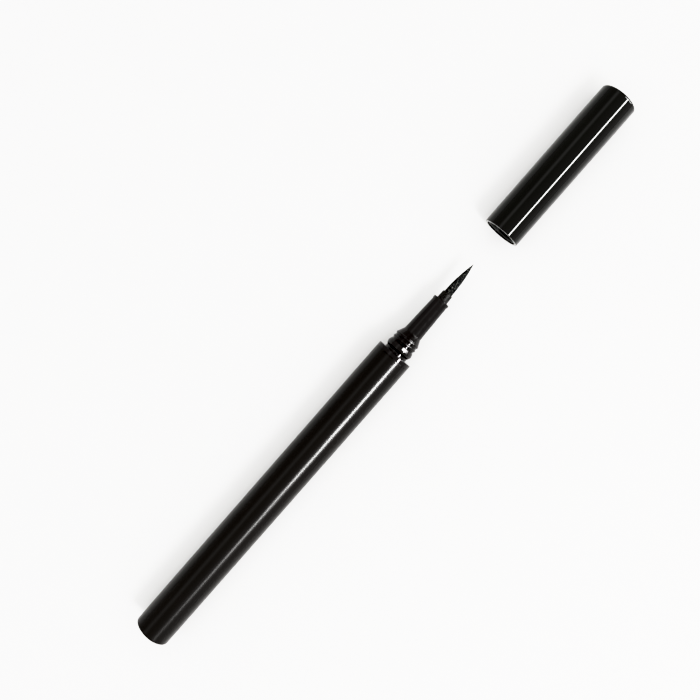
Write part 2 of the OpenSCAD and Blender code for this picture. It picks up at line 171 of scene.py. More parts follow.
class NeckSizes(PropertyGroup):
    """Sizes of the shoulder ring, the neck and the nozzle."""

    ring: length("Shoulder ring", 1.2, "Width of the ring between barrel and cap")
    ring_edge: length("Ring edge", 0.15, "Radius on the front edge of the shoulder ring")
    fine_edge: length("Fine edge", 0.1, "Radius on the other edges")
    neck_r: length("Neck radius", 3.25, "Radius of the neck")
    snap_x: length("Snap ring", 2.95, "Distance of the snap ring's middle from the barrel's mouth")
    snap_width: length("Snap width", 2.1, "Width of the snap ring")
    snap_rise: length("Snap rise", 0.5, "Height of the snap ring over the neck")
    snap_rear: length("Snap rear", 0.7, "Distance from the snap ring's middle to its rear shoulder")
    snap_rear_rise: length("Snap rear rise", 0.3, "Height of the rear shoulder over the neck")
    snap_front: length("Snap front", 0.85, "Distance from the snap ring's middle to its slope's end")
    snap_front_rise: length("Snap front rise", 0.22, "Height over the neck at which that slope ends")
    crown_edge: length("Crown edge", 0.4, "Radius on the snap ring's crown")
    bead_x: length("First bead", 4.7, "Distance of the first click bead from the barrel's mouth")
    bead_pitch: length("Bead pitch", 1.15, "Distance between the two click beads")
    bead_width: length("Bead width", 0.84, "Width of a click bead where it meets the neck")
    bead_rise: length("Bead rise", 0.225, "Height of a click bead over the neck")
    step: length("Step", 1.45, "Length of the slope from the neck to the nozzle")
    nozzle: length("Nozzle", 11.1, "Length of the nozzle")
    rear_r: length("Nozzle rear radius", 2.575, "Radius of the nozzle at the neck")
    front_r: length("Nozzle front radius", 2.225, "Radius of the nozzle behind its rim")
    rim_r: length("Rim radius", 2.325, "Radius of the rim that the inner cap closes on")
    rim_width: length("Rim width", 0.8, "Width of the rim")
    holder_bore: length("Holder bore", 1.6, "Radius of the bore that holds the nib holder")
    holder_seat: length("Holder seat", 6.0, "Depth of that bore")
    nozzle_bore: length("Nozzle bore", 1.9, "Radius of the bore behind the holder's seat")
    neck_bore: length("Neck bore", 2.3, "Radius of the bore round the small fins")
    neck_bore_x: length("Neck bore end", 5.65, "End of that bore, from the barrel's mouth")
    chamber_r: length("Chamber radius", 3.2, "Radius of the chamber round the large fins")
    groove_r: length("Seal groove radius", 3.58, "Radius at the bottom of the seal's groove")
    groove_width: length("Seal groove width", 0.7, "Width of the seal's groove")
    groove_inset: length("Seal groove inset", 2.5, "Distance of the seal from the skirt's rear end")


class BrushSizes(PropertyGroup):
    """Sizes of the nib holder and of the brush that it holds."""

    holder_in_r: length("Holder inner radius", 1.58, "Radius of the holder inside the nozzle")
    holder_flange: length("Holder flange", 0.8, "Thickness of the holder's flange")
    holder_r: length("Holder radius", 1.52, "Radius of the holder where it leaves the nozzle")
    mouth_r: length("Holder mouth radius", 1.45, "Radius of the holder at its mouth")
    bore_r: length("Holder bore radius", 1.17, "Radius of the bore that holds the brush")
    edge: length("Holder edge", 0.1, "Radius on the holder's mouth")
    brush_r: length("Brush radius", 1.15, "Radius of the brush where it leaves the holder")
    root_flange: length("Root flange", 0.55, "Thickness of the flange on the brush's root")
    root_recess: length("Root recess", 0.3, "Depth of the root's face behind the holder's mouth")
    feed_r: length("Feed bore radius", 0.6, "Radius of the bore for the feed rod")
    feed_depth: length("Feed bore depth", 5.05, "Depth of the bore for the feed rod")
    filament_r: length("Filament radius", 0.034, "Radius of one filament")
    stray: length("Stray", 0.05, "How far the point of a filament strays sideways")
    outline: number("Outline", 2.2, "Power of the fall of the brush's outline")
    gather: number("Gather", 0.8, "Power with which filaments draw together")
    filaments: IntProperty(name="Filaments", description="Filaments in the brush", default=960,
                           min=100, max=2000)


class CapSizes(PropertyGroup):
    """Sizes of the cap's shell, liner, inner cap and spring."""

    bore_r: length("Cap bore radius", 4.3, "Radius of the shell's bore")
    end: length("Cap end", 1.4, "Thickness of the closed end")
    end_edge: length("End edge", 0.6, "Radius on the closed end")
    mouth_edge: length("Mouth edge", 0.15, "Radius on the cap's mouth")
    fine_edge: length("Fine edge", 0.1, "Radius on the other edges")
    peg_r: length("Peg radius", 1.875, "Radius of the pegs that centre the spring")
    peg: length("Peg", 1.8, "Length of the pegs")
    liner_r: length("Liner bore radius", 3.8, "Radius of the liner's bore")
    lead: length("Lead", 0.3, "Lead-in chamfer of the liner")
    click_x: length("Click bead", 3.1, "Distance of the liner's bead from its rear end")
    click_rise: length("Click rise", 0.275, "Height of the liner's bead")
    click_width: length("Click width", 0.597, "Width of the liner's bead")
    lip: length("Lip", 0.8, "Thickness of the liner's lip")
    lip_r: length("Lip radius", 3.1, "Radius of the opening in the lip")
    inner_r: length("Inner cap radius", 2.8, "Radius of the inner cap's cup")
    inner_bore: length("Inner cap bore", 2.0, "Radius of the cup's bore")
    inner_mouth: length("Inner cap mouth", 2.475, "Radius of the cup's mouth")
    inner_wall: length("Inner cap floor", 0.8, "Thickness of the cup's floor")
    flange: length("Inner cap flange", 0.8, "Thickness of the inner cap's flange")
    wire_r: length("Wire radius", 0.2, "Radius of the spring's wire")
    turns: IntProperty(name="Turns", description="Open turns of the spring", default=6,
                       min=2, max=12)


class PenColours(PropertyGroup):
    """Colours of the pen's finishes."""

    barrel: colour("Barrel", "#100d0b", "Satin black of the barrel")
    front: colour("Front section", "#0f0b0b", "Polished black of the front section")
    holder: colour("Nib holder", "#191817", "Black of the nib holder")
    # Light grey that is painted in specks over the ink to stand for glints
    brush: colour("Brush", "#686963", "Specks of pigment dried on the brush's filaments")
    cap: colour("Cap", "#090907", "High-gloss black of the cap")
    liner: colour("Liner", "#232322", "Black of the liner")
    inner: colour("Inner cap", "#dedbd0", "Natural white of the inner cap")
    steel: colour("Steel", "#b9bcbf", "Stainless steel of the ball and the spring")
    rubber: colour("Seal", "#141414", "Black rubber of the seal")
    feed: colour("Feed rod", "#d8d4c8", "White of the feed rod")
    collector: colour("Collector", "#c9cbc6", "Natural white of the ink collector and the bush")
    ink: colour("Ink", "#0a0a0b", "Ink that stains the feed")
    floor: colour("Floor", "#f6f6f6", "White surface that the pen lies on")


class StudioSettings(PropertyGroup):
    """Lights, exposure and camera of the studio."""

    tint: colour("Tint", "#f7f6f4", "Colour of the pale surround")
    surround: number("Surround", 0.84, "Strength of the pale surround")
    side_share: number("Side share", 0.15, "Share by which one side of it is brighter", subtype="FACTOR")
    end_share: number("End share", 0.6, "Share of it that is left past the pen's ends", subtype="FACTOR")
    band: number("Band", 0.55, "Strength that a soft band overhead adds to it")
    band_width: number("Band width", 0.22, "Half width of the band, as a sine", subtype="FACTOR")
    far: length("Light distance", 1000, "Distance of the lights from the pen")
    key: number("Key", 2.6, "Power of the softbox that casts the shadows", unit="POWER")
    key_size: length("Key size", 300, "Side of that softbox")
    strip: number("Strip", 26, "Power of the strip that gloss reflects", unit="POWER")
    strip_l: length("Strip length", 1100, "Length of that strip")
    strip_w: length("Strip width", 110, "Width of that strip")
    window: number("Window", 14, "Power of the window that gloss reflects", unit="POWER")
    window_l: length("Window length", 900, "Length of that window")
    window_w: length("Window width", 160, "Width of that window")
    black: number("Black", 0.0205, "Radiance that the exposure takes for black")
    white: number("White", 0.87, "Radiance that the exposure takes for white")
    lens: number("Lens", 42.36, "Focal length of the camera", unit="CAMERA")
    reach: length("Surface", 3000, "Side of the white surface")


def new_object(name, data):
    """New object with this data, linked to the scene."""
    made = bpy.data.objects.new(name, data)
    bpy.context.scene.collection.objects.link(made)
    return made


def rounded(corners):
    """Outline of (x, r) points from (x, r, edge radius) corners, with arcs and their guard points."""
    points = []
    for i, (x, r, edge) in enumerate(corners):
        here = Vector((x, r))
        if edge == 0:
            points.append(here)
            continue
        back = (Vector(corners[i - 1][:2]) - here).normalized()
        on = (Vector(corners[(i + 1) % len(corners)][:2]) - here).normalized()
        half = back.angle(on) / 2
        centre = here + (back + on).normalized() * edge / math.sin(half)
        start = here + back * edge / math.tan(half) - centre
        sweep = start.angle_signed(here + on * edge / math.tan(half) - centre)
        steps = max(2, round(EDGE_FACETS * abs(sweep) / (math.pi / 2)))
        points.append(centre + start + back * GUARD)
        for step in range(steps + 1):
            points.append(centre + Matrix.Rotation(-sweep * step / steps, 2) @ start)
        points.append(here + on * (edge / math.tan(half) + GUARD))
    return points


def dome(x, base_r, width, rise):
    """Corners of a round bead on a base of radius base_r; with a negative rise it stands inwards."""
    radius = ((width / 2) ** 2 + rise ** 2) / (2 * abs(rise))
    bulge = math.copysign(radius, rise)
    centre_r = base_r + rise - bulge
    reach = math.asin(width / 2 / radius)
    angles = [reach * (2 * step / DOME_FACETS - 1) for step in range(DOME_FACETS + 1)]
    return [(x + radius * math.sin(a), centre_r + bulge * math.cos(a), 0) for a in angles]


def turned_shell(name, corners):
    """Closed smooth shell turned about the pen's axis from the corners of its half section."""
    outline = rounded(corners)
    mesh = bmesh.new()
    rings = []
    for x, r in outline:
        if r == 0:
            rings.append([mesh.verts.new((x, 0, AXIS_H))])
            continue
        angles = [2 * math.pi * k / TURN_FACETS for k in range(TURN_FACETS)]
        rings.append([mesh.verts.new((x, r * math.cos(a), AXIS_H + r * math.sin(a))) for a in angles])
    for ring, following in zip(rings, rings[1:] + rings[:1]):
        for k in range(TURN_FACETS):
            m = (k + 1) % TURN_FACETS
            face = [ring[k % len(ring)], ring[m % len(ring)], following[m % len(following)],
                    following[k % len(following)]]
            face = list(dict.fromkeys(face))
            if len(face) > 2:
                mesh.faces.new(face)
    bmesh.ops.recalc_face_normals(mesh, faces=mesh.faces)
    data = bpy.data.meshes.new(name)
    mesh.to_mesh(data)
    mesh.free()
    data.shade_smooth()
    data.set_sharp_from_angle(angle=SHARP_ANGLE)
    return new_object(name, data)


def seat(piece, body, node):
    """Let a piece ride on its body and stand for its construction node, which it hides."""
    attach(piece, body)
    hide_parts(node)


def seat_turned(name, material, body, node, corners):
    """Turn a piece from its corners, finish it with a material and seat it."""
    piece = turned_shell(name, corners)
    piece.data.materials.append(material)
    seat(piece, body, node)


def add_node(tree, kind, inputs=(), output=None, **settings):
    """Add a node with its settings, fill or link its inputs, and give it or one of its outputs back.

    The inputs are given by identifier, or in their order.
    """
    node = tree.nodes.new(kind)
    for name, value in settings.items():
        setattr(node, name, value)
    sockets = {socket.identifier: socket for socket in node.inputs}
    if not isinstance(inputs, dict):
        inputs = dict(zip(sockets, inputs))
    for identifier, value in inputs.items():
        if isinstance(value, bpy.types.NodeSocket):
            tree.links.new(value, sockets[identifier])
        else:
            sockets[identifier].default_value = value
    if output is None:
        return node
    return next(socket for socket in node.outputs if socket.identifier == output)


def work_out(tree, kind, values, steps):
    """Add a row of nodes of one kind and keep their results among the values, by name.

    A step is its result's name, its operation and its terms in order: names of values, or constants.
    """
    for name, operation, *terms in steps:
        inputs = [values[term] if isinstance(term, str) else term for term in terms]
        values[name] = add_node(tree, kind, inputs, "Value", operation=operation)


def shade(tone, share):
    """A colour made darker or lighter by a share."""
    return [share * value for value in tone[:3]] + [1]


def new_surface(name, values):
    """New material with one Principled shader, whose own sockets take the values."""
    material = bpy.data.materials.new(name)
    material.use_nodes = True
    tree = material.node_tree
    tree.nodes.clear()
    shader = add_node(tree, "ShaderNodeBsdfPrincipled", values)
    add_node(tree, "ShaderNodeOutputMaterial", {"Surface": shader.outputs["BSDF"]})
    return material


def vary(material, label, size, stretch=(1, 1, 1), detail=2.0, colours=None, roughness=None, depth=None,
         window=(0.3, 0.7)):
    """Let a surface's colour and roughness run between two ends, and its relief rise, with a noise.

    The noise has features of this size in millimetres, drawn out along an axis where stretch is above 1,
    and as many finer layers as detail says. The window is the part of its values over which colour and
    roughness run. The depth is in millimetres, and a relief lies over the one that is there already.
    """
    tree = material.node_tree
    shader = tree.nodes["Principled BSDF"]
    place = add_node(tree, "ShaderNodeTexCoord", output="Object")
    scale = [1 / (size * MM * share) for share in stretch]
    mapped = add_node(tree, "ShaderNodeMapping", {"Vector": place, "Scale": scale}, "Vector")
    noise = {"Vector": mapped, "Scale": 1, "Detail": detail}
    values = add_node(tree, "ShaderNodeTexNoise", noise, "Fac", label=label)
    limits = {"Value": values, "From Min": window[0], "From Max": window[1]}
    if colours:
        share = add_node(tree, "ShaderNodeMapRange", limits, "Result")
        mix = {"Factor_Float": share, "A_Color": colours[0], "B_Color": colours[1]}
        mixed = add_node(tree, "ShaderNodeMix", mix, "Result_Color", data_type="RGBA")
        tree.links.new(mixed, shader.inputs["Base Color"])
    if roughness:
        limits.update({"To Min": roughness[0], "To Max": roughness[1]})
        tree.links.new(add_node(tree, "ShaderNodeMapRange", limits, "Result"), shader.inputs["Roughness"])
    if depth:
        normal = shader.inputs["Normal"]
        bump = {"Height": values, "Strength": 1, "Distance": depth * MM}
        for below in normal.links:
            bump["Normal"] = below.from_socket
        tree.links.new(add_node(tree, "ShaderNodeBump", bump, "Normal"), normal)


def satin_moulded_abs(colours):
    """Moulded ABS from a lightly spark-eroded mould: a soft sheen with fine grain and lengthwise rubs."""
    material = new_surface("satin_moulded_abs", {"IOR": 1.53, "Specular IOR Level": 0.3})
    black = colours.barrel
    vary(material, "flow", 7.0, (3, 1, 1), colours=(black, shade(black, 1.35)), depth=0.07)
    vary(material, "rubs", 0.25, (60, 1, 1), 4.0, roughness=(0.22, 0.29), window=(0.5, 0.75))
    # The mould's grain of 0.03 mm is drawn at 0.12 mm so that it shows
    vary(material, "mould grain", 0.12, depth=0.0012)
    return material


def polished_moulded_abs(colours):
    """Moulded ABS from a polished mould: a clear reflection, slightly wavy where the plastic shrank."""
    material = new_surface("polished_moulded_abs", {"IOR": 1.53, "Specular IOR Level": 0.35})
    tones = (colours.front, shade(colours.front, 1.5))
    vary(material, "smudges", 1.1, detail=4.0, colours=tones, roughness=(0.06, 0.12))
    vary(material, "shrinkage", 2.2, (1.6, 1, 1), depth=0.004)
    return material


def inked_polypropylene(colours):
    """Moulded polypropylene that ink has run over: black, with a dull sheen and drier patches."""
    material = new_surface("inked_polypropylene", {"IOR": 1.49, "Specular IOR Level": 0.16})
    tones = (colours.holder, shade(colours.holder, 3.2))
    vary(material, "ink film", 0.32, detail=3.0, colours=tones, roughness=(0.22, 0.5), depth=0.12,
         window=(0.42, 0.62))
    return material


def inked_filament(colours):
    """Tapered PBT filaments soaked with ink: near black, with wet glints, and light grey specks painted
    into the colour as glints.
    """
    material = new_surface("inked_filament", {"IOR": 1.45, "Specular IOR Level": 0.3})
    tones = (colours.ink, colours.brush)
    # Light grey specks painted into the base colour stand in for glints of wet ink
    vary(material, "painted glint specks", 0.28, (1.4, 1, 1), 0.0, colours=tones, window=(0.62, 0.72))
    vary(material, "wet patches", 0.35, (1.8, 1, 1), roughness=(0.1, 0.6), window=(0.42, 0.5))
    vary(material, "drops", 0.4, (1.5, 1, 1), 0.0, depth=0.35)
    return material


def lacquered_abs(colours):
    """Moulded ABS under clear lacquer: a deep, mirror-like black with a trace of orange peel."""
    material = new_surface("lacquered_abs", {
        "IOR": 1.53, "Specular IOR Level": 0.15,
        "Coat Weight": 0.4, "Coat Roughness": 0.02, "Coat IOR": 1.5,
    })
    tones = (colours.cap, shade(colours.cap, 1.4))
    vary(material, "waves", 6.0, (2.5, 1, 1), 0.0, colours=tones, depth=0.012)
    vary(material, "dust", 0.3, detail=5.0, roughness=(0.05, 0.13), window=(0.45, 0.75))
    vary(material, "orange peel", 0.9, detail=1.0, depth=0.0012)
    return material


def black_polypropylene(colours):
    """Moulded polypropylene, not polished: a soft sheen over fine tool marks that run round the bore."""
    material = new_surface("black_polypropylene", {"IOR": 1.49})
    tones = (colours.liner, shade(colours.liner, 1.5))
    vary(material, "tool marks", 0.15, (1, 12, 12), colours=tones, roughness=(0.32, 0.44), depth=0.002)
    return material


def natural_polyethylene(colours):
    """Soft polyethylene without pigment: milky and waxy, so light goes a little way into it."""
    material = new_surface("natural_polyethylene", {
        "IOR": 1.51, "Subsurface Weight": 0.35, "Subsurface Radius": (1.0, 0.9, 0.75),
        "Subsurface Scale": 0.6 * MM,
    })
    tones = (shade(colours.inner, 0.86), colours.inner)
    vary(material, "cloud", 1.6, detail=3.0, colours=tones, roughness=(0.38, 0.5), depth=0.006)
    return material


def drawn_stainless_wire(colours):
    """Stainless steel wire, drawn through a die: bright metal with fine lines along the wire."""
    material = new_surface("drawn_stainless_wire", {"Metallic": 1.0})
    tones = (shade(colours.steel, 0.8), colours.steel)
    vary(material, "draw lines", 0.06, (1, 6, 6), 3.0, colours=tones, roughness=(0.2, 0.36), depth=0.002)
    return material


def polished_stainless_ball(colours):
    """Ground and tumbled stainless steel: bright metal with faint scratches, stained by the ink."""
    material = new_surface("polished_stainless_ball", {"Metallic": 1.0})
    tones = (colours.steel, shade(colours.steel, 0.35))
    vary(material, "ink stain", 1.4, detail=4.0, colours=tones, window=(0.5, 0.62))
    vary(material, "scratches", 0.3, (1, 4, 1), 5.0, roughness=(0.12, 0.24))
    return material


def nitrile_rubber(colours):
    """Moulded nitrile rubber: dull black with a greasy bloom."""
    material = new_surface("nitrile_rubber", {"IOR": 1.52})
    tones = (colours.rubber, shade(colours.rubber, 2))
    vary(material, "bloom", 0.4, detail=4.0, colours=tones, roughness=(0.5, 0.7), depth=0.004)
    return material


def stained_plastic(name, tones, size, roughness):
    """Unpigmented plastic that carries ink: pale and dull, and dark and wetter where the ink has been."""
    material = new_surface(name, {"IOR": 1.5})
    vary(material, "ink stain", size, (2, 1, 1), 5.0, tones, roughness, window=(0.48, 0.6))
    vary(material, "fine grain", 0.1, depth=0.002)
    return material


def white_laminate(colours):
    """Smooth white laminate: even and dull, with a faint mottle."""
    material = new_surface("white_laminate", {"IOR": 1.45, "Specular IOR Level": 0.25})
    tones = (shade(colours.floor, 0.985), colours.floor)
    vary(material, "mottle", 14.0, detail=3.0, colours=tones, roughness=(0.62, 0.7))
    return material


def new_rule(name, floats, integers=()):
    """New Geometry Nodes tree with named inputs: the tree, and its inputs' identifiers and values."""
    tree = bpy.data.node_groups.new(name, "GeometryNodeTree")
    tree.interface.new_socket("Geometry", in_out="OUTPUT", socket_type="NodeSocketGeometry")
    inputs = {}
    for kind, labels in (("NodeSocketFloat", floats), ("NodeSocketInt", integers)):
        for label in labels:
            inputs[label] = tree.interface.new_socket(label, in_out="INPUT", socket_type=kind).identifier
    group = add_node(tree, "NodeGroupInput")
    return tree, inputs, {label: group.outputs[label] for label in inputs}


def close_rule(tree, curve, profile, material, smooth):
    """End a tree: sweep the profile along the curve as a closed solid with its material."""
    solid = add_node(tree, "GeometryNodeCurveToMesh", {
        "Curve": curve, "Profile Curve": profile, "Fill Caps": True,
    }, "Mesh")
    shading = {"Geometry": solid, "Shade Smooth": smooth}
    shaded = add_node(tree, "GeometryNodeSetShadeSmooth", shading, "Geometry")
    real = add_node(tree, "GeometryNodeRealizeInstances", {"Geometry": shaded}, "Geometry")
    done = add_node(tree, "GeometryNodeSetMaterial", {"Geometry": real, "Material": material}, "Geometry")
    add_node(tree, "NodeGroupOutput", [done])


def brush_tree(name, material):
    """Geometry Nodes that grow the brush: each filament's points follow one rule from root to point."""
    tree, inputs, values = new_rule(name, (
        "Root X", "Axis Height", "Brush Radius", "Brush Length",
        "Filament Radius", "Stray", "Outline", "Gather",
    ), ("Filaments", "Points", *FILAMENT_SEEDS))
    values["index"] = add_node(tree, "GeometryNodeInputIndex", output="Index")
    work_out(tree, "ShaderNodeMath", values, (
        ("middle", "ADD", "index", 0.5),
        ("strands", "DIVIDE", "middle", "Points"),
        ("strand", "FLOOR", "strands"),
        ("points before", "MULTIPLY", "strand", "Points"),
        ("step", "SUBTRACT", "index", "points before"),
        ("last step", "SUBTRACT", "Points", 1.0),
        ("along", "DIVIDE", "step", "last step"),
    ))
    for label, low, high, seed in (
        ("shorter", SHORTEST, 1.0, "Length Seed"),
        ("turn", -LEAN, LEAN, "Lean Seed"),
        ("inward", -1.0, 0.0, "Stray Seed"),
        ("roll", 0.0, math.tau, "Roll Seed"),
    ):
        limits = {"Min_001": low, "Max_001": high, "ID": values["strand"], "Seed": values[seed]}
        values[label] = add_node(tree, "FunctionNodeRandomValue", limits, "Value_001", data_type="FLOAT")
    work_out(tree, "ShaderNodeMath", values, (
        # Place of the filament over the root, from the middle outwards, and how far it reaches
        ("nth", "ADD", "strand", 0.5),
        ("area", "DIVIDE", "nth", "Filaments"),
        ("place", "SQRT", "area"),
        ("loose", "SUBTRACT", 1.0, "Gather"),
        ("closing", "DIVIDE", 1.0, "loose"),
        ("closed", "POWER", "place", "closing"),
        ("free", "SUBTRACT", 1.0, "closed"),
        ("rounding", "DIVIDE", 1.0, "Outline"),
        ("full reach", "POWER", "free", "rounding"),
        ("reach", "MINIMUM", "full reach", FARTHEST),
        ("own reach", "MULTIPLY", "reach", "shorter"),
        ("share", "MULTIPLY", "along", "own reach"),
        # Filaments draw together as the brush's outline falls towards the tip
        ("spent", "POWER", "share", "Outline"),
        ("fall", "SUBTRACT", 1.0, "spent"),
        ("drawn in", "POWER", "fall", "Gather"),
        ("inside", "SUBTRACT", "Brush Radius", "Filament Radius"),
        ("root radius", "MULTIPLY", "inside", "place"),
        ("even radius", "MULTIPLY", "root radius", "drawn in"),
        # Each strays a little inwards and round the axis
        ("bent", "POWER", "along", BEND),
        ("stray here", "MULTIPLY", "Stray", "drawn in"),
        ("own stray", "MULTIPLY", "inward", "bent"),
        ("stray", "MULTIPLY", "stray here", "own stray"),
        ("radius", "MULTIPLY_ADD", "stray", "place", "even radius"),
        ("lean", "MULTIPLY", "bent", "turn"),
        ("angle", "MULTIPLY_ADD", "strand", GOLDEN_TURN, "lean"),
        ("cosine", "COSINE", "angle"),
        ("sine", "SINE", "angle"),
        ("X", "MULTIPLY_ADD", "share", "Brush Length", "Root X"),
        ("Y", "MULTIPLY", "radius", "cosine"),
        ("Z", "MULTIPLY_ADD", "radius", "sine", "Axis Height"),
        ("count", "MULTIPLY", "Filaments", "Points"),
    ))
    position = add_node(tree, "ShaderNodeCombineXYZ", [values[axis] for axis in "XYZ"], "Vector")
    points = add_node(tree, "GeometryNodePoints", {
        "Count": values["count"], "Position": position, "Radius": 1.0,
    })
    curves = add_node(tree, "GeometryNodePointsToCurves", {
        "Points": points.outputs[0], "Curve Group ID": values["strand"], "Weight": values["step"],
    }, "Curves")

    # Each filament tapers towards its point
    values["run"] = add_node(tree, "GeometryNodeSplineParameter", output="Factor")
    work_out(tree, "ShaderNodeMath", values, (
        ("late", "POWER", "run", TAPER),
        ("thickness", "MULTIPLY_ADD", "late", -THINNED, 1.0),
    ))
    sized = add_node(tree, "GeometryNodeSetCurveRadius", {
        "Curve": curves, "Radius": values["thickness"],
    }, "Curve")
    # Each is rolled its own way, so that its wet facets glint by themselves
    rolled = add_node(tree, "GeometryNodeSetCurveTilt", {"Curve": sized, "Tilt": values["roll"]}, "Curve")
    ring = add_node(tree, "GeometryNodeCurvePrimitiveCircle", {
        "Resolution": FILAMENT_SIDES, "Radius": values["Filament Radius"],
    }, "Curve")
    close_rule(tree, rolled, ring, material, smooth=False)
    return tree, inputs


def spring_tree(name, material):
    """Geometry Nodes that wind the spring: open turns between two closed end turns."""
    tree, inputs, values = new_rule(name, (
        "Front X", "Axis Height", "Coil Radius", "Wire Radius", "Length", "Turns",
    ))
    work_out(tree, "ShaderNodeMath", values, (
        ("all turns", "ADD", "Turns", 2.0),
        ("last turn", "ADD", "Turns", 1.0),
    ))
    spiral = add_node(tree, "GeometryNodeCurveSpiral", {
        "Resolution": TURN_STEPS, "Rotations": values["all turns"], "Height": 1.0,
        "Start Radius": values["Coil Radius"], "End Radius": values["Coil Radius"],
    }, "Curve")
    place = add_node(tree, "GeometryNodeInputPosition", output="Position")
    apart = add_node(tree, "ShaderNodeSeparateXYZ", {"Vector": place})
    values.update({"across": apart.outputs["X"], "up": apart.outputs["Y"], "run": apart.outputs["Z"]})
    work_out(tree, "ShaderNodeMath", values, (
        ("turn", "MULTIPLY", "run", "all turns"),
        ("closed turn", "MULTIPLY", "Wire Radius", CLOSED_PITCH),
        ("both ends", "MULTIPLY", "Wire Radius", 2 + 2 * CLOSED_PITCH),
        ("open turns", "SUBTRACT", "Length", "both ends"),
        ("X", "ADD", "Front X", "Wire Radius"),
        ("Z", "ADD", "Axis Height", "up"),
    ))
    for start, end, height in ((0.0, 1.0, "closed turn"), (1.0, values["last turn"], "open turns"),
                               (values["last turn"], values["all turns"], "closed turn")):
        limits = {"Value": values["turn"], "From Min": start, "From Max": end, "To Max": values[height]}
        values["rise"] = add_node(tree, "ShaderNodeMapRange", limits, "Result")
        work_out(tree, "ShaderNodeMath", values, (("X", "ADD", "X", "rise"),))
    axes = [values["X"], values["across"], values["Z"]]
    position = add_node(tree, "ShaderNodeCombineXYZ", axes, "Vector")
    wound = add_node(tree, "GeometryNodeSetPosition", {
        "Geometry": spiral, "Position": position,
    }, "Geometry")
    ring = add_node(tree, "GeometryNodeCurvePrimitiveCircle", {
        "Resolution": WIRE_SIDES, "Radius": values["Wire Radius"],
    }, "Curve")
    close_rule(tree, wound, ring, material, smooth=True)
    return tree, inputs


def grown_piece(name, tree, inputs, values):
    """Plain mesh that a Geometry Nodes tree makes from the values of its named inputs."""
    carrier = new_object(name + "_carrier", bpy.data.meshes.new(name + "_carrier"))
    modifier = carrier.modifiers.new(name, "NODES")
    modifier.node_group = tree
    for label, value in values.items():
        modifier[inputs[label]] = value
    evaluated = carrier.evaluated_get(bpy.context.evaluated_depsgraph_get())
    data = bpy.data.meshes.new_from_object(evaluated)
    data.name = name
    if not data.polygons:
        raise RuntimeError(name + " came out empty")
    carrier.modifiers.remove(modifier)
    bpy.data.objects.remove(carrier)
    return new_object(name, data)


class EYELINER_OT_barrel(Operator):
    """Make the barrel tube and the plug in its tail"""

    bl_idname = "eyeliner.barrel"
    bl_label = "Barrel and tail plug"

    def execute(self, context):
        sizes = context.scene.eyeliner_barrel
        material = satin_moulded_abs(context.scene.eyeliner_colours)
        bore_r = BODY_R - sizes.wall
        seat_turned("barrel_tube", material, "pen", "barrel", [
            (TAIL_X, bore_r, sizes.fine_edge),
            (TAIL_X, BODY_R, sizes.tail_edge),
            (MOUTH_X, BODY_R, sizes.fine_edge),
            (MOUTH_X, bore_r, 0),
        ])
        face_x, open_x, plug_r = span("tail_plug")
        hollow_r = plug_r - sizes.plug_wall
        gate_x = face_x + sizes.gate_depth
        inner_x = face_x + sizes.plug_face
        seat_turned("barrel_end_plug", material, "pen", "tail_plug", [
            (gate_x, 0, 0),
            (gate_x, sizes.gate_r - sizes.gate_depth, sizes.gate_depth),
            (face_x, sizes.gate_r, sizes.gate_depth),
            (face_x, plug_r, sizes.plug_edge),
            (open_x, plug_r, 0),
            (open_x, hollow_r, 0),
            (inner_x, hollow_r, sizes.plug_edge),
            (inner_x, 0, 0),
        ])
        return {"FINISHED"}


class EYELINER_OT_front_section(Operator):
    """Make the moulding with shoulder ring, neck, nozzle and skirt"""

    bl_idname = "eyeliner.front_section"
    bl_label = "Front section"

    def execute(self, context):
        sizes = context.scene.eyeliner_neck
        fine = sizes.fine_edge
        skirt_x, face_x, ring_r = span("front_section")
        skirt_r = span("tank_bush")[2]
        seal_x = skirt_x + sizes.groove_inset
        groove_x = seal_x - sizes.groove_width / 2
        groove_end_x = seal_x + sizes.groove_width / 2
        chamber_x = MOUTH_X - fine
        ring_x = MOUTH_X + sizes.ring
        snap_x = MOUTH_X + sizes.snap_x
        neck_bore_x = MOUTH_X + sizes.neck_bore_x
        nozzle_x = face_x - sizes.nozzle
        rim_x = face_x - sizes.rim_width
        seat_x = face_x - sizes.holder_seat
        bead = (sizes.neck_r, sizes.bead_width, sizes.bead_rise)
        material = polished_moulded_abs(context.scene.eyeliner_colours)
        seat_turned("neck_and_nozzle", material, "pen", "front_section", [
            (skirt_x, skirt_r, fine),
            (groove_x, skirt_r, 0),
            (groove_x, sizes.groove_r, 0),
            (groove_end_x, sizes.groove_r, 0),
            (groove_end_x, skirt_r, 0),
            (MOUTH_X, skirt_r, 0),
            (MOUTH_X, ring_r, fine),
            (ring_x, ring_r, sizes.ring_edge),
            (ring_x, sizes.neck_r, fine),
            (snap_x - sizes.snap_width / 2, sizes.neck_r, 0),
            (snap_x - sizes.snap_rear, sizes.neck_r + sizes.snap_rear_rise, fine),
            (snap_x, sizes.neck_r + sizes.snap_rise, sizes.crown_edge),
            (snap_x + sizes.snap_front, sizes.neck_r + sizes.snap_front_rise, fine),
            (snap_x + sizes.snap_width / 2, sizes.neck_r, 0),
            *dome(MOUTH_X + sizes.bead_x, *bead),
            *dome(MOUTH_X + sizes.bead_x + sizes.bead_pitch, *bead),
            (nozzle_x - sizes.step, sizes.neck_r, sizes.ring_edge),
            (nozzle_x, sizes.rear_r, sizes.ring_edge),
            (rim_x, sizes.front_r, 0),
            (rim_x, sizes.rim_r, fine / 2),
            (face_x, sizes.rim_r, sizes.ring_edge),
            (face_x, sizes.holder_bore, fine / 2),
            (seat_x, sizes.holder_bore, 0),
            (seat_x, sizes.nozzle_bore, 0),
            (neck_bore_x, sizes.nozzle_bore, 0),
            (neck_bore_x, sizes.neck_bore, 0),
            (chamber_x, sizes.neck_bore, 0),
            (chamber_x, sizes.chamber_r, 0),
            (skirt_x, sizes.chamber_r, 0),
        ])
        return {"FINISHED"}


